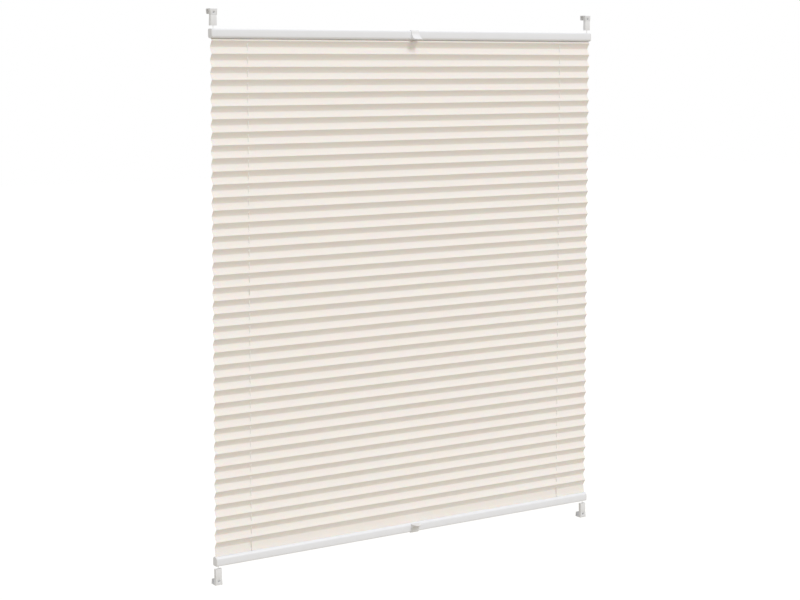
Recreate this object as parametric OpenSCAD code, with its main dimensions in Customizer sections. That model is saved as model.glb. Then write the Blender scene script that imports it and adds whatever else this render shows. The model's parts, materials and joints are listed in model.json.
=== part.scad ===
// Pleated blind whose two rails both move, stretched between four clamp-on brackets.
// Millimetres, +Z up, -Y towards the room. The origin is the middle of the whole blind.
// The lower half of the hardware is the upper half turned over, so every piece is drawn
// once, at the top right, and mirrored to its own corner.

/* [Blind] */
// Width over the end caps of the rails
blind_w = 1100; // [600:10:1400]
// Depth over the handle lips in front and the clamp jaws behind
blind_d = 46; // [44:0.5:50]
// Number of pleats between the rails, counted by their front creases
pleat_count = 40; // [20:1:50]
// Height of one pleat with the blind closed
pleat_pitch = 29.4; // [24:0.05:32]

/* [Fabric] */
// Depth of the folds, from front crease to back crease
pleat_depth = 8.5; // [6:0.1:10]
// Thickness of the fabric
fabric_t = 0.4; // [0.3:0.05:0.6]
// Upright distance from the lips of the upper rail to the first front crease
fabric_lead = 4.8; // [3:0.1:6]
// Distance of each column of cord holes from the edge of the fabric
hole_inset = 94; // [60:1:150]
// Diameter of the cord holes in the fabric
hole_d = 2.4; // [2.2:0.1:3]

/* [Rails] */
// Height of a rail
rail_h = 21.5; // [21:0.5:26]
// Depth of a rail, front to back
rail_d = 18; // [18:0.5:20]
// Wall thickness of a rail
rail_wall = 1.2; // [1:0.1:1.3]
// Radius of the two shoulders beside the fabric slot
shoulder_r = 6.5; // [6:0.1:6.6]
// Radius of the two outer edges of a rail
rail_edge_r = 3.2; // [2:0.1:3.2]
// Width of the fabric slot between the lips
slot_w = 3.2; // [2.8:0.1:4]
// Thickness of the visible plate of an end cap
cap_t = 2; // [1.5:0.1:3]
// Length of the plug of an end cap
plug_l = 14; // [13:0.5:18]

/* [Handles] */
// Width of a handle
handle_w = 22; // [18:1:30]
// How far the tongue of a handle stands out from the rail
handle_reach = 21; // [18:0.5:22]
// Thickness of a handle on the rail and over its outer edge
handle_t = 2; // [1.4:0.1:2.4]
// Thickness of a handle's tongue at its lip
lip_t = 2.2; // [1.8:0.1:3]

/* [Cords] */
// Diameter of a tension cord
cord_d = 1.4; // [1:0.1:1.5]
// Distance of the cord eyelets from the ends of a rail
eyelet_inset = 8; // [7.5:0.5:9]

/* [Brackets] */
// Height of a bracket with its tension shoe
bracket_h = 38; // [37:0.5:42]
// Width of the clamp at its arm
bracket_w = 18; // [17:0.2:20]
// Width of the clamp where it meets the shoe
clamp_w = 16; // [15.4:0.2:17]
// Free cord between a tension shoe and its rail
bracket_gap = 7; // [4:0.5:20]
// Height of the tension shoe
shoe_h = 24; // [24:0.5:25]
// Width of the tension shoe at its mouth
shoe_w = 16.6; // [16:0.2:17]
// Width of the tension shoe where it meets the clamp
waist_w = 15.2; // [14.4:0.2:16]
// Depth of the bracket in front of the window sash
front_d = 8.5; // [8.5:0.1:9.5]
// Height of the jaw behind the window sash
jaw_h = 12; // [10:0.5:13]
// Wall thickness of the clamp arm and the jaw
clamp_wall = 2; // [1.8:0.1:2.4]
// Outside diameter of the clamp screw
screw_d = 5; // [4:0.5:5]

/* [Hidden] */
$fn = 48;
LEVELS = ["top", "bottom"];
SIDES = ["left", "right"];
CORNER_PIECES = ["bracket", "screw", "pad", "shoe", "anchor", "spring", "cap", "guide"];
RAIL_PIECES = ["rail", "strip", "handle"];

// Clearance of a sliding fit, and overshoot of a cut
slack = 0.1;
cut = 1;

// Heights of the upper half, from the middle of the blind
drop = pleat_count * pleat_pitch;
lip_z = drop / 2 + fabric_lead;
rail_top = lip_z + rail_h;
bracket_z = rail_top + bracket_gap;
bracket_top = bracket_z + bracket_h;

// The rail's section, the strip behind its lips, and the ribs that keep the strip down
rail_l = blind_w - 2 * cap_t;
rail_front = -rail_d / 2;
lip_inner = lip_z + rail_wall;
strip_t = 2.6;
strip_top = lip_inner + strip_t;
strip_half = 6.4;
strip_foot = 2.5;
strip_edge = 0.5;
slit_depth = 1.6;
rib_z = strip_top + slack;
rib_t = 0.9;
rib_reach = 2;

// The end cap: its bevelled face, and the tongue with the eyelet in the rail's notch
cap_bevel = 0.5;
cap_edge = 0.4;
notch_l = plug_l - eyelet_inset + cap_t;
notch_w = 5.4;
collar_r = 2.6;
collar_h = 0.5;
channel_w = 3.6;
channel_h = 5.5;
channel_below = 2;
channel_end = 3;

// The cords: front-to-back place at the brackets, lanes inside the rails, level of the long run
cord_r = cord_d / 2;
cord_x = blind_w / 2 - eyelet_inset;
cord_y = -0.5;
lane_y = 5;
run_drop = 8;
run_z = rail_top - run_drop;
cord_bend = 3;
hole_x = rail_l / 2 - hole_inset;
lane_start = 20;
lane_end = 24;
lane_ease = 16;
cord_bore = 1.2;
tube_sides = 8;

// The saddle over each column of holes: a foot on the strip and a block with a groove
foot_l = 16;
foot_w = 11;
foot_t = 1.2;
saddle_l = 12;
saddle_w = 6.4;
saddle_bore = 1.8;
groove_half = 1.4;

// The tension shoe, measured from its mouth, and what it holds
shoe_front_r = 2;
shoe_back_r = 0.5;
mouth_w = 10;
mouth_d = 4.4;
mouth_depth = 2.4;
funnel_r = 2.1;
funnel_h = 1.2;
cavity_floor = 5;
cavity_r = 2.4;
anchor_from = 14;
anchor_l = 5;
anchor_slack = 0.15;
anchor_bore = cord_r + anchor_slack;
knot_recess_r = 1.5;
knot_recess = 2.2;
spring_wire_r = 0.35;
spring_turns = 5;
spring_steps = 12;

// The knot at the end of a cord: heights from the outer face of the plunger, each with a radius
knot_z = bracket_z + anchor_from + anchor_l;
knot_steps = [[-0.3, 0.3], [-0.5, 0.9], [-1, 1.2], [-1.5, 1.2], [-1.9, 0.9], [-2.1, cord_r]];

// The clamp, front to back and upwards
sash_y = 4;
face_y = sash_y - front_d;
plate_t = 1.5;
plate_half = 5.6;
plate_undercut = 0.8;
plate_inset = 1;
jaw_back = rail_front - handle_reach + blind_d;
jaw_front = jaw_back - clamp_wall;
jaw_lead = 0.6;
arm_z = bracket_top - clamp_wall;
jaw_z = bracket_top - jaw_h;
clamp_z = bracket_z + shoe_h + slack;
clamp_edge_r = 1.5;
screw_drop = 9;
screw_z = bracket_top - screw_drop;
screw_bore = screw_d / 2 + slack;
sink = 1.2;
pad_r = 4.2;
pad_t = 1.6;
tip_r = 1.2;
tip_l = 0.8;
socket_r = 1.45;
socket_depth = 2.2;

// The handle's tongue: a hollow that sweeps in one arc from the face of the rail out to a rounded
// lip on the fabric side, with round corners seen from above
lip_tip = rail_front - handle_reach;
lip_rise = 1;
lip_low = lip_z + lip_rise;
nose_r = lip_t / 2;
lip_corner_r = 7;
sweep_top = rail_top - rail_edge_r;
sweep_d = handle_reach - handle_t - nose_r;
sweep_h = sweep_top - lip_low - nose_r;
sweep_r = (sweep_d * sweep_d + sweep_h * sweep_h - nose_r * nose_r) / (2 * (sweep_d + nose_r));
sweep_end = atan2(sweep_h, sweep_r - sweep_d);
hook_reach = 6;

// The pieces are drawn with the fabric at y = 0, and the whole blind is then centred
fabric_y = -(lip_tip + jaw_back) / 2;

aluminium = "gainsboro";
white_plastic = "whitesmoke";
grey_plastic = "lightgray";
steel = "slategray";
cloth = "linen";

function arc(centre, r, from, to, steps = 6) =
    [for (i = [0 : steps]) let (a = from + (to - from) * i / steps) centre + r * [cos(a), sin(a)]];

function reversed(list) = [for (i = [len(list) - 1 : -1 : 0]) list[i]];

function rest(list) = [for (i = [1 : len(list) - 1]) list[i]];

function unit(v) = v / norm(v);

function heading(path, i) =
    let (last = len(path) - 1)
    unit((i < last ? unit(path[i + 1] - path[i]) : [0, 0, 0])
        + (i > 0 ? unit(path[i] - path[i - 1]) : [0, 0, 0]));

function ring(centre, along, side, r) =
    let (u = unit(cross(side, along)), v = cross(along, u))
    [for (k = [0 : tube_sides - 1])
        let (a = 360 * (k + 0.5) / tube_sides)
        centre + r * (cos(a) * u + sin(a) * v)];

// A round tube along a path, with its own radius at each point. side is never along the path.
module tube(path, radii, side) {
    n = tube_sides;
    rings = len(path);
    points = [for (i = [0 : rings - 1]) each ring(path[i], heading(path, i), side, radii[i])];
    walls = [for (i = [0 : rings - 2], k = [0 : n - 1], half = [0, 1])
        let (a = i * n + k, b = i * n + (k + 1) % n)
        half == 0 ? [a, a + n, b] : [b, a + n, b + n]];
    start = [for (k = [0 : n - 1]) k];
    end = [for (k = [n - 1 : -1 : 0]) (rings - 1) * n + k];
    polyhedron(points, concat([start], walls, [end]));
}

// A side view, drawn front to back and upwards, pushed out along the blind
module along_x(from, length) {
    translate([from, 0, 0])
        rotate([90, 0, 90])
            linear_extrude(length)
                children();
}

// A front view that tapers evenly upwards, round the upright line of the cord's end
module tapered_front(low, high, low_w, high_w) {
    translate([cord_x, blind_d, 0])
        rotate([90, 0, 0])
            linear_extrude(2 * blind_d)
                polygon([[-low_w / 2, low], [low_w / 2, low], [high_w / 2, high], [-high_w / 2, high]]);
}

// A round shape on the axis of the clamp screw, front to back
module along_y(from, length, r, end_r = undef, sides = $fn) {
    translate([cord_x, from, screw_z])
        rotate([-90, 0, 0])
            cylinder(h = length, r1 = r, r2 = is_undef(end_r) ? r : end_r, $fn = sides);
}

// Outline of a rail, or of its hollow with inset as the wall
function rail_path(inset) =
    let (half = rail_d / 2 - inset, top = rail_top - inset, low = lip_z + inset,
        edge = rail_edge_r - inset, shoulder = shoulder_r - inset)
    concat(
        arc([half - edge, top - edge], edge, 0, 90),
        arc([edge - half, top - edge], edge, 90, 180),
        arc([shoulder - half, low + shoulder], shoulder, 180, 270, 8),
        arc([half - shoulder, low + shoulder], shoulder, 270, 360, 8)
    );

// Aluminium channel: closed towards the bracket, slotted towards the fabric, ribbed inside
module rail() {
    rib_l = rail_wall + rib_reach;
    color(aluminium)
        difference() {
            along_x(-rail_l / 2, rail_l)
                difference() {
                    polygon(rail_path(0));
                    difference() {
                        polygon(rail_path(rail_wall));
                        for (side = [0, 1])
                            mirror([side, 0])
                                translate([rail_front, rib_z])
                                    square([rib_l, rib_t]);
                    }
                    translate([-slot_w / 2, lip_z - cut])
                        square([slot_w, rail_wall + 2 * cut]);
                }
            for (side = [-1, 1])
                translate([side * cord_x, cord_y, rail_top - rail_wall / 2])
                    cube([2 * notch_l, notch_w, rail_wall + cut], center = true);
        }
}

// Moulded plug with the cord's eyelet, whose tongue fills the notch in the rail's outer wall
module end_cap() {
    fit = rail_wall + slack;
    plug_low = rib_z + rib_t + slack;
    tongue_w = notch_w - 2 * slack;
    color(white_plastic)
        difference() {
            union() {
                along_x(rail_l / 2, cap_t - cap_bevel)
                    polygon(rail_path(0));
                along_x(blind_w / 2 - cap_bevel, cap_bevel)
                    polygon(rail_path(cap_edge));
                along_x(rail_l / 2 - plug_l, plug_l)
                    intersection() {
                        polygon(rail_path(fit));
                        translate([-rail_d, plug_low])
                            square([2 * rail_d, rail_h]);
                    }
                translate([cord_x - notch_l + slack, cord_y - tongue_w / 2, rail_top - fit - cut])
                    cube([notch_l - slack + eyelet_inset - cap_t, tongue_w, fit + cut]);
                translate([cord_x, cord_y, rail_top - fit])
                    cylinder(h = fit + collar_h, r = collar_r);
            }
            translate([cord_x, cord_y, run_z])
                cylinder(h = rail_h, r = cord_bore);
            translate([rail_l / 2 - plug_l - cut, cord_y - channel_w / 2, run_z - channel_below])
                cube([plug_l - channel_end + cut, channel_w, channel_h]);
        }
}

// Saddle that turns one cord down into the fabric while the other passes beside it
module cord_guide() {
    color(white_plastic)
        difference() {
            union() {
                translate([hole_x - foot_l / 2, -foot_w / 2, strip_top])
                    cube([foot_l, foot_w, foot_t]);
                translate([hole_x - saddle_l / 2, -saddle_w / 2, strip_top])
                    cube([saddle_l, saddle_w, run_z + groove_half - strip_top]);
            }
            translate([hole_x, 0, strip_top - cut])
                cylinder(h = rail_h, r = saddle_bore);
            translate([hole_x - saddle_l / 2 - cut, -groove_half, run_z - groove_half])
                cube([saddle_l / 2 + cut, 2 * groove_half, rail_h]);
        }
}

// Extruded strip behind the rail's lips, with the edge of the fabric glued in its slit
module fabric_strip() {
    color(white_plastic)
        difference() {
            along_x(-rail_l / 2, rail_l)
                difference() {
                    polygon([
                        [-strip_foot, lip_inner], [strip_foot, lip_inner],
                        [strip_half, strip_top - strip_edge], [strip_half, strip_top],
                        [-strip_half, strip_top], [-strip_half, strip_top - strip_edge]
                    ]);
                    translate([-fabric_t / 2 - slack, lip_inner - cut])
                        square([fabric_t + 2 * slack, slit_depth + cut]);
                }
            for (side = [-1, 1])
                translate([side * hole_x, 0, lip_inner - cut])
                    cylinder(h = strip_t + 2 * cut, r = hole_d / 2);
        }
}

// Clip-on handle: a strip hooked over the rail, with a finger grip that flares out to its lip
module handle() {
    edge_centre = [rail_front + rail_edge_r, sweep_top];
    half_t = handle_t / 2;
    nose_centre = [lip_tip + nose_r, lip_low + nose_r];
    sweep_centre = [rail_front - handle_t - sweep_r, sweep_top];
    corner = [handle_w / 2 - lip_corner_r, lip_tip + lip_corner_r];
    color(white_plastic)
        intersection() {
            along_x(-handle_w / 2, handle_w)
                polygon(concat(
                    [[rail_front, lip_low]],
                    arc(edge_centre, rail_edge_r, 180, 90),
                    arc([rail_front + hook_reach, rail_top + half_t], half_t, -90, 90),
                    arc(edge_centre, rail_edge_r + handle_t, 90, 180),
                    rest(arc(sweep_centre, sweep_r, 0, -sweep_end, 12)),
                    rest(arc(nose_centre, nose_r, 180 - sweep_end, 270))
                ));
            translate([0, 0, lip_z])
                linear_extrude(2 * rail_h)
                    polygon(concat(
                        [[handle_w / 2, rail_d], [-handle_w / 2, rail_d]],
                        arc([-corner[0], corner[1]], lip_corner_r, 180, 270),
                        arc(corner, lip_corner_r, 270, 360)
                    ));
        }
}

// C-shaped clamp that hooks over the sash, with a dovetail plate that carries the shoe
module clamp_bracket() {
    pad_recess = pad_t + slack;
    color(grey_plastic)
        difference() {
            union() {
                intersection() {
                    along_x(cord_x - bracket_w, 2 * bracket_w)
                        polygon(concat(
                            [[sash_y, clamp_z], [face_y, clamp_z]],
                            arc([face_y + clamp_edge_r, bracket_top - clamp_edge_r], clamp_edge_r, 180, 90),
                            arc([jaw_back - clamp_edge_r, bracket_top - clamp_edge_r], clamp_edge_r, 90, 0),
                            [[jaw_back, jaw_z], [jaw_front + jaw_lead, jaw_z]],
                            [[jaw_front, jaw_z + 2 * jaw_lead], [jaw_front, arm_z], [sash_y, arm_z]]
                        ));
                    tapered_front(clamp_z, bracket_top, clamp_w, bracket_w);
                }
                translate([cord_x, 0, bracket_z + plate_inset])
                    linear_extrude(clamp_z - bracket_z)
                        polygon([
                            [-plate_half, sash_y - plate_t], [plate_half, sash_y - plate_t],
                            [plate_half - plate_undercut, sash_y], [plate_undercut - plate_half, sash_y]
                        ]);
            }
            along_y(face_y - cut, front_d + 2 * cut, screw_bore);
            along_y(face_y - slack, sink + slack, screw_bore + sink + slack, screw_bore);
            along_y(sash_y - pad_recess, pad_recess + cut, pad_r + 2 * slack);
        }
}

// Grub screw with a hexagon socket, sunk in the front of the clamp
module clamp_screw() {
    head_y = face_y + sink;
    tip_y = sash_y - pad_t - slack;
    color(steel)
        difference() {
            union() {
                along_y(head_y, tip_y - head_y, screw_d / 2);
                along_y(tip_y - cut, tip_l + cut, tip_r);
            }
            along_y(head_y - cut, socket_depth + cut, socket_r, sides = 6);
        }
}

// Round pad that the screw pushes against the sash
module pressure_pad() {
    color(white_plastic)
        difference() {
            along_y(sash_y - pad_t, pad_t, pad_r);
            along_y(sash_y - pad_t - cut, tip_l + cut, tip_r + slack);
        }
}

// Moulded tension shoe that slides onto the bracket's plate and holds the end of a cord
module tension_shoe() {
    half = shoe_w / 2;
    groove_half_w = plate_half + slack;
    color(white_plastic)
        difference() {
            intersection() {
                translate([cord_x, 0, bracket_z])
                    linear_extrude(shoe_h)
                        difference() {
                            polygon(concat(
                                arc([half - shoe_back_r, sash_y - shoe_back_r], shoe_back_r, 0, 90, 2),
                                arc([shoe_back_r - half, sash_y - shoe_back_r], shoe_back_r, 90, 180, 2),
                                arc([shoe_front_r - half, face_y + shoe_front_r], shoe_front_r, 180, 270),
                                arc([half - shoe_front_r, face_y + shoe_front_r], shoe_front_r, 270, 360)
                            ));
                            polygon([
                                [-groove_half_w, sash_y - plate_t - slack],
                                [groove_half_w, sash_y - plate_t - slack],
                                [groove_half_w - plate_undercut, sash_y + slack],
                                [plate_undercut - groove_half_w, sash_y + slack]
                            ]);
                        }
                tapered_front(bracket_z, bracket_z + shoe_h, shoe_w, waist_w);
            }
            translate([cord_x, cord_y, bracket_z]) {
                translate([-mouth_w / 2, -mouth_d / 2, -cut])
                    cube([mouth_w, mouth_d, mouth_depth + cut]);
                translate([0, 0, mouth_depth - slack])
                    cylinder(h = funnel_h + slack, r1 = funnel_r, r2 = cord_bore);
                cylinder(h = cavity_floor + cut, r = cord_bore);
                translate([0, 0, cavity_floor])
                    cylinder(h = shoe_h, r = cavity_r);
            }
        }
}

// Plunger in the shoe, recessed for the knot of the cord
module cord_anchor() {
    color(grey_plastic)
        translate([cord_x, cord_y, bracket_z + anchor_from])
            difference() {
                cylinder(h = anchor_l, r = cavity_r - slack);
                translate([0, 0, -cut])
                    cylinder(h = anchor_l + 2 * cut, r = anchor_bore);
                translate([0, 0, anchor_l - knot_recess])
                    cylinder(h = knot_recess + cut, r = knot_recess_r);
            }
}

// Compression spring between the floor of the shoe and the plunger
module tension_spring() {
    coil_r = cavity_r - 2 * slack - spring_wire_r;
    low = bracket_z + cavity_floor + spring_wire_r;
    rise = anchor_from - cavity_floor - 2 * spring_wire_r;
    count = spring_turns * spring_steps;
    path = [for (i = [0 : count])
        let (a = 360 * i / spring_steps)
        [cord_x + coil_r * cos(a), cord_y + coil_r * sin(a), low + rise * i / count]];
    color(steel)
        tube(path, [for (p = path) spring_wire_r], [0, 0, 1]);
}

// Upper half of a cord: knot, eyelet, the run across the rail, and the turn down at the far holes
function half_route(side) =
    let (end_x = side * cord_x, far_x = -side * hole_x, lane = side * lane_y)
    concat(
        [for (k = knot_steps) [end_x, cord_y, knot_z + k[0]]],
        [for (a = [0 : 22.5 : 90])
            [end_x - side * cord_bend * (1 - cos(a)), cord_y, run_z + cord_bend * (1 - sin(a))]],
        [[end_x - side * plug_l, cord_y, run_z], [end_x - side * (plug_l + lane_start), lane, run_z]],
        [[far_x + side * lane_end, lane, run_z], [far_x + side * (lane_end - lane_ease), 0, run_z]],
        [for (a = [0 : 22.5 : 90])
            [far_x + side * cord_bend * (1 - sin(a)), 0, run_z - cord_bend * (1 - cos(a))]]
    );

module tension_cord(side) {
    upper = half_route(side);
    lower = reversed([for (p = upper) [p[0], p[1], -p[2]]]);
    upper_r = [for (i = [0 : len(upper) - 1]) i < len(knot_steps) ? knot_steps[i][1] : cord_r];
    color(cloth)
        tube(concat(upper, lower), concat(upper_r, reversed(upper_r)), [0, 1, 0]);
}

// One sheet folded back and forth, its ends in the slits of the strips. At the top it enters the
// rail from a front crease, at the bottom from a back crease.
module pleated_fabric() {
    front = -pleat_depth / 2;
    face = norm([pleat_depth, pleat_pitch / 2]);
    skin = fabric_t * face / pleat_pitch;
    end_z = lip_inner + slit_depth;
    folds = concat(
        [[0, end_z], [0, lip_z]],
        [for (i = [0 : 2 * pleat_count - 1]) [i % 2 == 0 ? front : -front, (drop - i * pleat_pitch) / 2]],
        [[0, -lip_z], [0, -end_z]]
    );
    color(cloth)
        difference() {
            along_x(-rail_l / 2, rail_l)
                polygon(concat(
                    [for (p = folds) p - [skin, 0]],
                    reversed([for (p = folds) p + [skin, 0]])
                ));
            for (side = [-1, 1])
                translate([side * hole_x, 0, -rail_top])
                    cylinder(h = 2 * rail_top, r = hole_d / 2);
        }
}

module centred() {
    translate([0, fabric_y, 0])
        children();
}

module at_corner(side, level) {
    centred()
        mirror([side == "left" ? 1 : 0, 0, 0])
            mirror([0, 0, level == "bottom" ? 1 : 0])
                children();
}

for (level = LEVELS, side = SIDES) {
    corner = str(level, "_", side, "_");
    at_corner(side, level) clamp_bracket();
    at_corner(side, level) clamp_screw();
    at_corner(side, level) pressure_pad();
    at_corner(side, level) tension_shoe();
    at_corner(side, level) cord_anchor();
    at_corner(side, level) tension_spring();
    at_corner(side, level) end_cap();
    at_corner(side, level) cord_guide();
}
for (level = LEVELS) {
    at_corner("right", level) rail();
    at_corner("right", level) fabric_strip();
    at_corner("right", level) handle();
}
centred() tension_cord(-1);  // left_cord
centred() tension_cord(1);  // right_cord
centred() pleated_fabric();
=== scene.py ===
import json
import math

import bmesh
import bpy
import numpy as np
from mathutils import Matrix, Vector


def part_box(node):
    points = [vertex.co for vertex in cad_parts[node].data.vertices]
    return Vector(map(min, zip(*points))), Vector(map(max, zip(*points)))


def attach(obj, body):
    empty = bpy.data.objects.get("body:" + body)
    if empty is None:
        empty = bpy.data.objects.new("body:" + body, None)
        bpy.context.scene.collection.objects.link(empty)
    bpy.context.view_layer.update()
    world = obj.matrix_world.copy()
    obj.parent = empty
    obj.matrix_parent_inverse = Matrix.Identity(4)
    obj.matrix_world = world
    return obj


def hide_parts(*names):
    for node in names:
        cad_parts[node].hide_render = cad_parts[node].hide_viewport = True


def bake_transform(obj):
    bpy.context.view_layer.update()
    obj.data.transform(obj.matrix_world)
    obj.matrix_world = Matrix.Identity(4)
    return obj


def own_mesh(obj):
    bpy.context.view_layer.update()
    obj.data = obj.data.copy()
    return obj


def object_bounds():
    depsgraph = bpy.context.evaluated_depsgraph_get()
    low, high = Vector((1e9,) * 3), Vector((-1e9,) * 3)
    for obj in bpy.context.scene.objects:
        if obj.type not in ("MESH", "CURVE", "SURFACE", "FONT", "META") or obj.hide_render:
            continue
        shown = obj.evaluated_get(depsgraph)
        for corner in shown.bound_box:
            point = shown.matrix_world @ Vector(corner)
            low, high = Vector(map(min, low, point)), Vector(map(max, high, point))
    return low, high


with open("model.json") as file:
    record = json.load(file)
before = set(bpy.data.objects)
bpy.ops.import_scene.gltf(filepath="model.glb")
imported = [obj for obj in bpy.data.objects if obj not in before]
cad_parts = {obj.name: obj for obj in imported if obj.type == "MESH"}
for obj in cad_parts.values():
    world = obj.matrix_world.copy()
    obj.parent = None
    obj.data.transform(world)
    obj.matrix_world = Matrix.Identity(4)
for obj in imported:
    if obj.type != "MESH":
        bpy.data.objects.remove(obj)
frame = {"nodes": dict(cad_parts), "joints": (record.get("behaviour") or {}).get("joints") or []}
cad_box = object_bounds()

# Camera
# Stands to the left of the blind, with the eye a little under the top rail, and looks across the
# cloth to the right. A lens shift keeps the uprights nearly parallel, as in a product picture.
picture_width_px = 800
focal_length_px = 1745.4
eye = (-2.382, -3.4893, 0.5376)
looks_down = math.radians(5.14)
turned_right = math.radians(33.84)
camera_data = bpy.data.cameras.new("camera")
camera_data.sensor_width = 36
camera_data.lens = camera_data.sensor_width * focal_length_px / picture_width_px
camera_data.shift_y = -0.1
camera = bpy.data.objects.new("camera", camera_data)
camera.location = eye
camera.rotation_euler = (math.pi / 2 - looks_down, 0, -turned_right)
bpy.context.collection.objects.link(camera)
bpy.context.scene.camera = camera
bpy.context.scene.view_settings.view_transform = "Standard"


# Studio
# A white room with even light from all sides, one broad soft lamp high at the front and a little to
# the right, and a floor well below the blind that looks white but sends up a warmer light.
class Shade:
    """A socket in a node tree. Arithmetic on it adds Math nodes, and add() makes any other node."""

    def __init__(self, tree, socket=None):
        self.tree = tree
        self.socket = socket

    def add(self, kind, settings=None, inputs=None, output=0):
        node = self.tree.nodes.new(kind)
        for name, value in (settings or {}).items():
            setattr(node, name, value)
        for key, value in (inputs or {}).items():
            if isinstance(value, Shade):
                self.tree.links.new(value.socket, node.inputs[key])
            else:
                node.inputs[key].default_value = value
        return Shade(self.tree, node.outputs[output])

    def output(self, name):
        """Another output of the same node."""
        return Shade(self.tree, self.socket.node.outputs[name])

    def into(self, node, name):
        self.tree.links.new(self.socket, node.inputs[name])

    def math(self, operation, *values):
        return self.add("ShaderNodeMath", {"operation": operation}, dict(enumerate(values)))

    def mix(self, low, high):
        """The colour low where this value is 0 and high where it is 1."""
        return self.add("ShaderNodeMix", {"data_type": "RGBA"}, {0: self, 6: low, 7: high}, 2)

    def __add__(self, other):
        return self.math("ADD", self, other)

    def __sub__(self, other):
        return self.math("SUBTRACT", self, other)

    def __mul__(self, other):
        return self.math("MULTIPLY", self, other)

    __radd__ = __add__
    __rmul__ = __mul__


def seen_directly(shade):
    """1 on rays that show the surroundings in the picture, in gloss or through glass, else 0."""
    path = shade.add("ShaderNodeLightPath", output="Is Camera Ray")
    gloss = path.output("Is Glossy Ray")
    return path.math("MAXIMUM", path, path.math("MAXIMUM", gloss, path.output("Is Transmission Ray")))


ambient = 0.73
towards_lamp = Vector((0.1, -0.7335, 0.6725))
world = bpy.data.worlds.new("white_room")
world.use_nodes = True
bpy.context.scene.world = world
sky = world.node_tree.nodes["Background"]
sky.inputs["Color"].default_value = (1, 1, 1, 1)
(ambient + (1 - ambient) * seen_directly(Shade(world.node_tree))).into(sky, "Strength")

lamp_data = bpy.data.lights.new("soft_lamp", "SUN")
lamp_data.energy = 1.064
lamp_data.angle = math.radians(20)
lamp = bpy.data.objects.new("soft_lamp", lamp_data)
lamp.rotation_mode = "QUATERNION"
lamp.rotation_quaternion = towards_lamp.to_track_quat("Z", "Y")
bpy.context.collection.objects.link(lamp)

floor_drop = 0.55
floor_size = 40
floor_colour = (0.5, 0.458, 0.372, 1)
floor_glow = 1.21
glow_share = 0.8
bpy.ops.object.select_all(action="DESELECT")
bpy.ops.mesh.primitive_plane_add(size=floor_size, location=(0, 0, cad_box[0].z - floor_drop))
floor = bpy.context.object
floor.name = "floor"
floor_paint = bpy.data.materials.new("floor_paint")
floor_paint.use_nodes = True
floor_nodes = floor_paint.node_tree.nodes
floor_nodes.remove(floor_nodes["Principled BSDF"])
paint = Shade(floor_paint.node_tree)
matt = paint.add("ShaderNodeBsdfDiffuse", inputs={"Color": floor_colour})
white = paint.add("ShaderNodeEmission", inputs={"Color": (1, 1, 1, 1), "Strength": floor_glow})
share = glow_share * seen_directly(paint)
paint.add("ShaderNodeMixShader", inputs={0: share, 1: matt, 2: white}).into(
    floor_nodes["Material Output"], "Surface"
)
floor.data.materials.append(floor_paint)

# Tension cords
# Two thin braided polyester cords. Each is knotted in the plunger of one shoe, enters the rail at
# the eyelet, crosses inside it to the far column of holes, and runs down through the cloth to the
# other rail, which it leaves the same way. Each is cut here where the moving rails change its run.
mm = 0.001
cord_radius = 0.7 * mm
bend_radius = 3 * mm
lane = 5 * mm
run_depth = 8 * mm
stretch_steps = 12
upright_steps = 8
eyelet_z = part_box("top_rail")[1].z
run_z = eyelet_z - run_depth
plunger_low, plunger_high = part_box("top_right_anchor")
end_x = (plunger_low.x + plunger_high.x) / 2
end_y = (plunger_low.y + plunger_high.y) / 2
guide_low, guide_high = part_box("top_right_guide")
hole_x = (guide_low.x + guide_high.x) / 2
fabric_y = sum(corner.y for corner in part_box("top_rail")) / 2
rail_travel = next(j["range_m"][1] for j in frame["joints"] if j["name"] == "top_rail_slide")


def tube(name, path, radii):
    """A round tube along a path. Its UV map holds the turn round it and the metres along it."""
    sides = 12
    bm = bmesh.new()
    uv = bm.loops.layers.uv.new("braid")
    points = [Vector(p) for p in path]
    sideways = Vector((0, 1, 0))
    rings = []
    walked = [0]
    for i, point in enumerate(points):
        ahead = (points[min(i + 1, len(points) - 1)] - points[max(i - 1, 0)]).normalized()
        across = sideways.cross(ahead).normalized()
        up = ahead.cross(across)
        turns = [2 * math.pi * k / sides for k in range(sides)]
        spokes = [math.cos(t) * across + math.sin(t) * up for t in turns]
        rings.append([bm.verts.new(point + radii[i] * spoke) for spoke in spokes])
        if i > 0:
            walked.append(walked[-1] + (point - points[i - 1]).length)
    for i in range(len(points) - 1):
        for k in range(sides):
            after = (k + 1) % sides
            face = bm.faces.new((rings[i][k], rings[i][after], rings[i + 1][after], rings[i + 1][k]))
            corners = ((k, i), (k + 1, i), (k + 1, i + 1), (k, i + 1))
            for loop, (turn, step) in zip(face.loops, corners):
                loop[uv].uv = (turn / sides, walked[step])
    bm.faces.new(reversed(rings[0]))
    bm.faces.new(rings[-1])
    bmesh.ops.recalc_face_normals(bm, faces=bm.faces)
    mesh = bpy.data.meshes.new(name)
    bm.to_mesh(mesh)
    bm.free()
    piece = bpy.data.objects.new(name, mesh)
    bpy.context.collection.objects.link(piece)
    return piece


def only(piece):
    """Makes a piece the one selected object, so that operators act on it alone."""
    bpy.ops.object.select_all(action="DESELECT")
    piece.select_set(True)
    bpy.context.view_layer.objects.active = piece


def new_finish(name, **constants):
    """A material whose shader has these constant values, and a start for its patterns."""
    material = bpy.data.materials.new(name)
    material.use_nodes = True
    shader = material.node_tree.nodes["Principled BSDF"]
    for socket, value in constants.items():
        shader.inputs[socket.replace("_", " ").title()].default_value = value
    return material, shader, Shade(material.node_tree)


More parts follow.
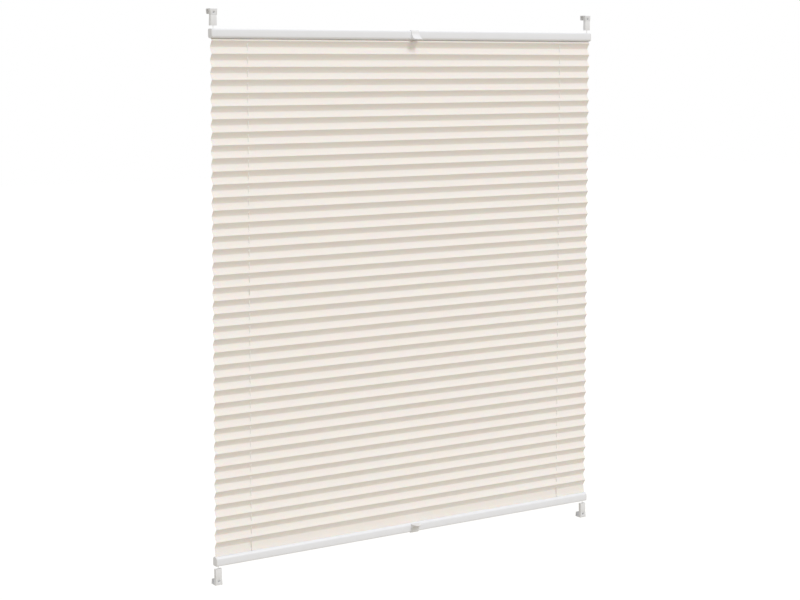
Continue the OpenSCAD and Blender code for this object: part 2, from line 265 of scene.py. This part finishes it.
def braid_material():
    """Off-white yarn, plaited: two sets of strands that wind round the cord in opposite ways, with painted
    shade in the grooves between them.
    """
    strands = 4
    lay = 2.4 * mm
    material, shader, start = new_finish("cord_braid", roughness=0.75, sheen_weight=0.2)
    braid = start.add("ShaderNodeUVMap", {"uv_map": "braid"})
    turn = braid.add("ShaderNodeSeparateXYZ", inputs={0: braid}, output="X")
    wound = turn * (2 * math.pi * strands)
    advance = turn.output("Y") * (2 * math.pi / lay)
    right = turn.math("SINE", wound + advance)
    left = turn.math("SINE", wound - advance)
    height = turn.math("MAXIMUM", right, left) * 0.5 + 0.5
    # The colour is darker where the strands dip into the grooves between them, which is painted shade; the
    # bump below gives the strands their relief.
    height.mix((0.82, 0.81, 0.78, 1), (0.94, 0.93, 0.91, 1)).into(shader, "Base Color")
    bump = turn.add("ShaderNodeBump", None, {"Strength": 0.6, "Distance": 0.1 * mm, "Height": height})
    bump.into(shader, "Normal")
    return material


cord_material = braid_material()


def cord_tube(node, part, path, side, level, radii=None):
    """One tube of a cord. The path is drawn for the top right corner and mirrored to another."""
    placed = [(x * side, y, z * level) for x, y, z in path]
    piece = tube(f"{node}_{part}", placed, radii or [cord_radius] * len(path))
    piece.data.materials.append(cord_material)
    only(piece)
    bpy.ops.object.shade_smooth()
    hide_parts(node)
    return piece


# Height from the plunger's outer end and radius along the knot, in mm, from the cut end inwards.
knot = [(-0.3, 0.3), (-0.5, 0.9), (-1.0, 1.2), (-1.5, 1.2), (-1.9, 0.9), (-2.2, 0.7)]
quarter = [math.pi / 12 * i for i in range(7)]
for side_name, side in (("left", -1), ("right", 1)):
    for level_name, level in (("top", 1), ("bottom", -1)):
        corner = f"{level_name}_{side_name}"
        rail = f"{level_name}_rail"
        cord = f"{side_name}_cord"
        knotted = [(end_x, end_y, plunger_high.z + z * mm) for z, r in knot]
        knotted.append((end_x, end_y, plunger_low.z))
        free_drop = plunger_low.z - run_z - bend_radius
        heights = [plunger_low.z - free_drop * i / stretch_steps for i in range(stretch_steps + 1)]
        free = [(end_x, end_y, z) for z in heights]
        into_rail = [
            (end_x - bend_radius * (1 - math.cos(a)), end_y, run_z + bend_radius * (1 - math.sin(a)))
            for a in quarter
        ]
        across = [
            (end_x - 14 * mm, end_y, run_z),
            (end_x - 34 * mm, fabric_y + side * lane, run_z),
            (24 * mm - hole_x, fabric_y + side * lane, run_z),
            (8 * mm - hole_x, fabric_y, run_z),
        ]
        out_of_rail = [
            (bend_radius * (1 - math.sin(a)) - hole_x, fabric_y, run_z - bend_radius * (1 - math.cos(a)))
            for a in quarter
        ]
        upright_top = run_z - bend_radius
        heights = [upright_top * (1 - i / upright_steps) for i in range(upright_steps + 1)]
        upright = [(-hole_x, fabric_y, z) for z in heights]

        knot_radii = [r * mm for z, r in knot] + [cord_radius]
        piece = cord_tube(cord, f"{level_name}_knot", knotted, side, level, knot_radii)
        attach(piece, f"{corner}_anchor")
        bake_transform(cord_tube(cord, f"{level_name}_stretch", free, side, level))
        route = into_rail + across + out_of_rail
        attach(cord_tube(cord, f"{level_name}_run", route, side, level), rail)
        piece = cord_tube(cord, f"{level_name}_upright", upright, side, level)
        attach(piece, "frame")
        1 - rail_travel / upright_top
        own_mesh(piece)

# Pleated cloth
# One sheet of cream crepe in 40 pleats, pressed sharper in front, so that its faces are slightly hollow.
# It is punched for the cords and glued into the strips, and made as two halves that meet at the front
# crease in the middle of the blind.
pleat_count = 40
pleat_pitch = 29.4 * mm
pleat_depth = 8.5 * mm
hollow = 0.65 * mm
cloth_t = 0.4 * mm
hole_r = 1.2 * mm
crease_reach = 0.45 * mm
cloth_half, cloth_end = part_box("pleated_fabric")[1].x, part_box("pleated_fabric")[1].z
lip_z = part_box("top_rail")[0].z
face_length = math.hypot(pleat_depth, pleat_pitch / 2)
patch = 2 * hole_r
patch_rise = 2.2 * mm
hole_points = 16
column_step = 18 * mm
ripple_height = 0.2 * mm
sway_height = 0.3 * mm
settled = 20 * mm
columns = []
stops = [-cloth_half, -hole_x - patch, -hole_x + patch, hole_x - patch, hole_x + patch, cloth_half]
for start, end, step in zip(stops, stops[1:], [column_step, patch / 2] * 3):
    count = round((end - start) / step)
    columns += [start + (end - start) * i / count for i in range(count)]
columns.append(cloth_half)


def crease(before, fold, after):
    """Where the cloth really turns at a fold: the middle of a small arc inside the corner."""
    back = (Vector(before) - Vector(fold)).normalized()
    on = (Vector(after) - Vector(fold)).normalized()
    chord = Vector(fold) + (back + on) * crease_reach / 2
    half_sine = math.sqrt((1 - back.dot(on)) / 2)
    return chord + (Vector(fold) - chord) * half_sine / (1 + half_sine)


def side_view(faces):
    """Rows of one half, from the middle to its glued edge: distance along the cloth, depth, height.

    Ends with the distance at which the cord's cut-out in the straight lead to the slot starts.
    """
    depths = (-pleat_depth / 2 - hollow, pleat_depth / 2 - hollow)
    folds = [(depths[i % 2], i * pleat_pitch / 2) for i in range(-1, faces + 1)]
    lead = math.dist(folds[-1], (0, lip_z))
    cut_out = lead * (1 - hole_r / abs(folds[-1][0]))
    folds += [(0, lip_z), (0, cloth_end)]
    face_rows = [face_length / 2 + patch_rise * i for i in range(-2, 3)]
    inner = [[crease_reach, *face_rows, face_length - crease_reach]] * faces
    inner += [[crease_reach, cut_out, lead - crease_reach], [crease_reach]]
    rows = []
    walked = 0
    for i, (before, fold, after, steps) in enumerate(zip(folds, folds[1:], folds[2:], inner)):
        on = (Vector(after) - Vector(fold)).normalized()
        bow = hollow if i < faces else 0
        rows.append((walked, *crease(before, fold, after)))
        for step in steps:
            depth, height = Vector(fold) + on * step
            part = step / face_length
            rows.append((walked + step, depth + 4 * bow * part * (1 - part), height))
        walked += math.dist(fold, after)
    rows.append((walked, *folds[-1]))
    return rows, faces * face_length + cut_out


def half_cloth(name, level, faces):
    """One half of the sheet, pleated, punched and thickened, and its length along the cloth."""
    rows, cut_out = side_view(faces)
    row_s, row_y, row_z = (np.array(part) for part in zip(*rows))
    length = float(row_s[-1])
    bm = bmesh.new()
    uv = bm.loops.layers.uv.new("cloth")
    flat = {}
    grid = {}

    def vertex(x, s):
        """A point of the cloth, with the unevenness of pressing, which dies out at the rails."""
        held = min(1, (length - s) / settled)
        signed = level * s
        ripple = ripple_height * math.sin(7.1 * x + 45 * signed) * math.sin(3.3 * x - 20 * signed)
        sway = sway_height * math.sin(4.7 * x + 61 * signed) * s / length
        depth = fabric_y + np.interp(s, row_s, row_y) + held * ripple
        height = np.interp(s, row_s, row_z) + held * sway
        v = bm.verts.new((x, depth, level * height))
        flat[v] = (x, signed)
        return v

    def grid_vertex(row, column):
        if (row, column) not in grid:
            grid[row, column] = vertex(columns[column], row_s[row])
        return grid[row, column]

    def face(corners):
        made = bm.faces.new(corners if level > 0 else tuple(reversed(corners)))
        for loop in made.loops:
            loop[uv].uv = flat[loop.vert]

    for row in range(len(row_s) - 1):
        s = (row_s[row] + row_s[row + 1]) / 2
        at_hole = s < faces * face_length and abs(s % face_length - face_length / 2) < 2 * patch_rise
        for column in range(len(columns) - 1):
            off = abs(abs(columns[column] + columns[column + 1]) / 2 - hole_x)
            if (at_hole and off < patch) or (s > cut_out and off < hole_r):
                continue
            face((
                grid_vertex(row, column),
                grid_vertex(row, column + 1),
                grid_vertex(row + 1, column + 1),
                grid_vertex(row + 1, column),
            ))
    turns = [2 * math.pi * k / hole_points for k in range(hole_points)]
    # Steps in rows and columns from a hole's middle to the border of its patch of 4 by 4 squares.
    square = [tuple(max(-2, min(2, round(2.8 * f(t)))) for f in (math.sin, math.cos)) for t in turns]
    slant = face_length / pleat_depth
    for centre_x in (-hole_x, hole_x):
        column = int(np.argmin(np.abs(np.array(columns) - centre_x)))
        for i in range(faces):
            centre_s = (i + 0.5) * face_length
            row = int(np.argmin(np.abs(row_s - centre_s)))
            rim = [
                vertex(centre_x + hole_r * math.cos(t), centre_s + hole_r * slant * math.sin(t))
                for t in turns
            ]
            outer = [grid_vertex(row + dr, column + dc) for dr, dc in square]
            for k in range(hole_points):
                after = (k + 1) % hole_points
                face((outer[k], outer[after], rim[after], rim[k]))
    mesh = bpy.data.meshes.new(name)
    bm.to_mesh(mesh)
    bm.free()
    piece = bpy.data.objects.new(name, mesh)
    bpy.context.collection.objects.link(piece)
    only(piece)
    solidify = piece.modifiers.new("thickness", "SOLIDIFY")
    solidify.thickness = cloth_t
    solidify.offset = 0
    solidify.use_even_offset = True
    bpy.ops.object.modifier_apply(modifier=solidify.name)
    bpy.ops.object.shade_smooth_by_angle(angle=math.radians(40))
    return piece, length


def crepe_material():
    """Fine crossed yarns with slubs along the weft, smoother where the creases were pressed."""
    yarn = 0.45 * mm
    pressed_width = 0.8 * mm
    material, shader, start = new_finish(
        "pleated_crepe",
        sheen_weight=0.15,
        sheen_roughness=0.5,
        subsurface_weight=0.5,
        subsurface_radius=(1, 0.7, 0.45),
        subsurface_scale=0.4 * mm,
    )
    cloth = start.add("ShaderNodeUVMap", {"uv_map": "cloth"})
    across = cloth.add("ShaderNodeSeparateXYZ", inputs={0: cloth}, output="X")
    along = across.output("Y")
    warp = across.math("SINE", across * (2 * math.pi / yarn))
    weft = across.math("SINE", along * (2 * math.pi / yarn))
    stretched = cloth.add("ShaderNodeMapping", inputs={"Vector": cloth, "Scale": (30, 900, 1)})
    slub = cloth.add(
        "ShaderNodeTexNoise", inputs={"Vector": stretched, "Scale": 1.0, "Detail": 3.0}, output="Fac"
    )
    broad = cloth.add("ShaderNodeMapping", inputs={"Vector": cloth, "Scale": (6, 14, 1)})
    cloud = cloth.add(
        "ShaderNodeTexNoise", inputs={"Vector": broad, "Scale": 1.0, "Detail": 2.0}, output="Fac"
    )
    fold = across.math("PINGPONG", along, face_length / 2)
    pressed = across.math("SMOOTH_MIN", fold * (1 / pressed_width), 1.0, 0.2)
    tone = slub * 0.5 + cloud * 0.3 + warp * weft * 0.06 + 0.1
    tone.mix((0.86, 0.822, 0.78, 1), (0.92, 0.887, 0.862, 1)).into(shader, "Base Color")
    height = warp * weft * 0.5 + slub * 0.8
    bump = cloth.add("ShaderNodeBump", None, {"Strength": 0.25, "Distance": 0.12 * mm, "Height": height})
    bump.into(shader, "Normal")
    (0.68 + 0.14 * pressed).into(shader, "Roughness")
    return material


cloth_material = crepe_material()
halves = (("cloth_upper", 1, pleat_count, "top"), ("cloth_lower", -1, pleat_count - 1, "bottom"))
for name, level, faces, end in halves:
    piece, length = half_cloth(name, level, faces)
    piece.data.materials.append(cloth_material)
    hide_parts("pleated_fabric")
    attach(piece, "frame")
    1 - rail_travel / lip_z
    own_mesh(piece)


# Rails
# Extruded aluminium channels, powder-coated white, slotted towards the cloth and closed outside.
# The edges of the lips and of the notches at the ends are broken so that they don't fray a cord.
def softened(node, edge, segments=3):
    """A copy of a hard-edged piece with its edges rounded off, as moulding or coating leaves them."""
    piece = bpy.data.objects.new(f"finished_{node}", frame["nodes"][node].data.copy())
    bpy.context.collection.objects.link(piece)
    only(piece)
    bpy.ops.object.mode_set(mode="EDIT")
    bpy.ops.mesh.select_all(action="SELECT")
    bpy.ops.mesh.remove_doubles(threshold=0.002 * mm)
    bpy.ops.mesh.dissolve_limited(angle_limit=math.radians(0.5))
    bpy.ops.object.mode_set(mode="OBJECT")
    bevel = piece.modifiers.new("edges", "BEVEL")
    bevel.width = edge
    bevel.segments = segments
    bevel.limit_method = "ANGLE"
    bevel.angle_limit = math.radians(40)
    bpy.ops.object.modifier_apply(modifier=bevel.name)
    bpy.ops.object.shade_smooth_by_angle(angle=math.radians(35))
    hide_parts(node)
    return piece


def dress(piece, material, body):
    """Gives a piece its one material, and the body that it moves with."""
    piece.data.materials.clear()
    piece.data.materials.append(material)
    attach(piece, body)


def grained_material(name, colour, roughness, grain, depth, **constants):
    """A coated or moulded surface: an even colour with a faint cloudiness, and a fine grain."""
    material, shader, start = new_finish(name, **constants)
    place = start.add("ShaderNodeTexCoord", output="Object")
    fine = place.add(
        "ShaderNodeTexNoise", inputs={"Vector": place, "Scale": 1 / grain, "Detail": 2.0}, output="Fac"
    )
    broad = place.add(
        "ShaderNodeTexNoise", inputs={"Vector": place, "Scale": 25.0, "Detail": 2.0}, output="Fac"
    )
    dark = tuple(0.96 * c for c in colour) + (1,)
    light = tuple(1.02 * c for c in colour) + (1,)
    (0.7 * broad + 0.3 * fine).mix(dark, light).into(shader, "Base Color")
    (roughness - 0.06 + 0.12 * fine).into(shader, "Roughness")
    bump = place.add("ShaderNodeBump", None, {"Strength": 0.3, "Distance": depth, "Height": fine})
    bump.into(shader, "Normal")
    return material


coat_material = grained_material("white_powder_coat", (0.868, 0.878, 0.913), 0.42, 0.9 * mm, 0.02 * mm)
for level in ("top", "bottom"):
    dress(softened(f"{level}_rail", 0.25 * mm), coat_material, f"{level}_rail")

# Fabric strips and cord guides
# Inside each rail an extruded plastic strip holds the glued edge of the cloth behind the lips, and
# two moulded saddles on it turn the cords down into the cloth.
plastic_material = grained_material("white_moulded_plastic", (0.85, 0.853, 0.87), 0.5, 0.5 * mm, 0.015 * mm)
for level in ("top", "bottom"):
    for node in (f"{level}_strip", f"{level}_left_guide", f"{level}_right_guide"):
        dress(softened(node, 0.15 * mm, 1), plastic_material, f"{level}_rail")

# End caps
# Moulded plugs pushed into the ends of the rails, with the eyelet that each cord enters by.
for level in ("top", "bottom"):
    for side in ("left", "right"):
        dress(softened(f"{level}_{side}_cap", 0.3 * mm), plastic_material, f"{level}_rail")

# Handles
# Moulded finger grips that hook over the middle of each rail's outer edge. On the cloth side each
# sweeps out into a tongue with a rounded lip, for a fingertip to push.
for level in ("top", "bottom"):
    dress(softened(f"{level}_handle", 0.35 * mm), plastic_material, f"{level}_rail")

# Clamp brackets
# Moulded C-shaped clamps that hook over the window sash, each with a grub screw that pushes a round
# pad against the sash from the front.
clamp_material = grained_material("pale_clamp_plastic", (0.8, 0.805, 0.822), 0.4, 0.6 * mm, 0.015 * mm)
steel_material = grained_material("zinc_steel", (0.62, 0.62, 0.63), 0.34, 0.25 * mm, 0.01 * mm, metallic=1.0)
for level in ("top", "bottom"):
    for side in ("left", "right"):
        corner = f"{level}_{side}"
        dress(softened(f"{corner}_bracket", 0.35 * mm), clamp_material, "frame")
        dress(softened(f"{corner}_screw", 0.2 * mm), steel_material, f"{corner}_screw")
        dress(softened(f"{corner}_pad", 0.25 * mm), plastic_material, f"{corner}_pad")

# Tension shoes
# Moulded shoes that slide onto the brackets' plates. Inside each, a plunger that holds the knot of
# a cord is pressed away from the mouth by a small steel spring.
for level_name, level in (("top", 1), ("bottom", -1)):
    for side_name in ("left", "right"):
        corner = f"{level_name}_{side_name}"
        dress(softened(f"{corner}_shoe", 0.35 * mm), plastic_material, "frame")
        dress(softened(f"{corner}_anchor", 0.2 * mm), plastic_material, f"{corner}_anchor")
        spring = softened(f"{corner}_spring", 0.02 * mm, 1)
        dress(spring, steel_material, "frame")
        low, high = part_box(f"{corner}_spring")
        travel = next(j["range_m"][1] for j in frame["joints"] if j["name"] == f"{corner}_anchor_slide")
        1 - travel / (high.z - low.z)
        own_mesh(spring)
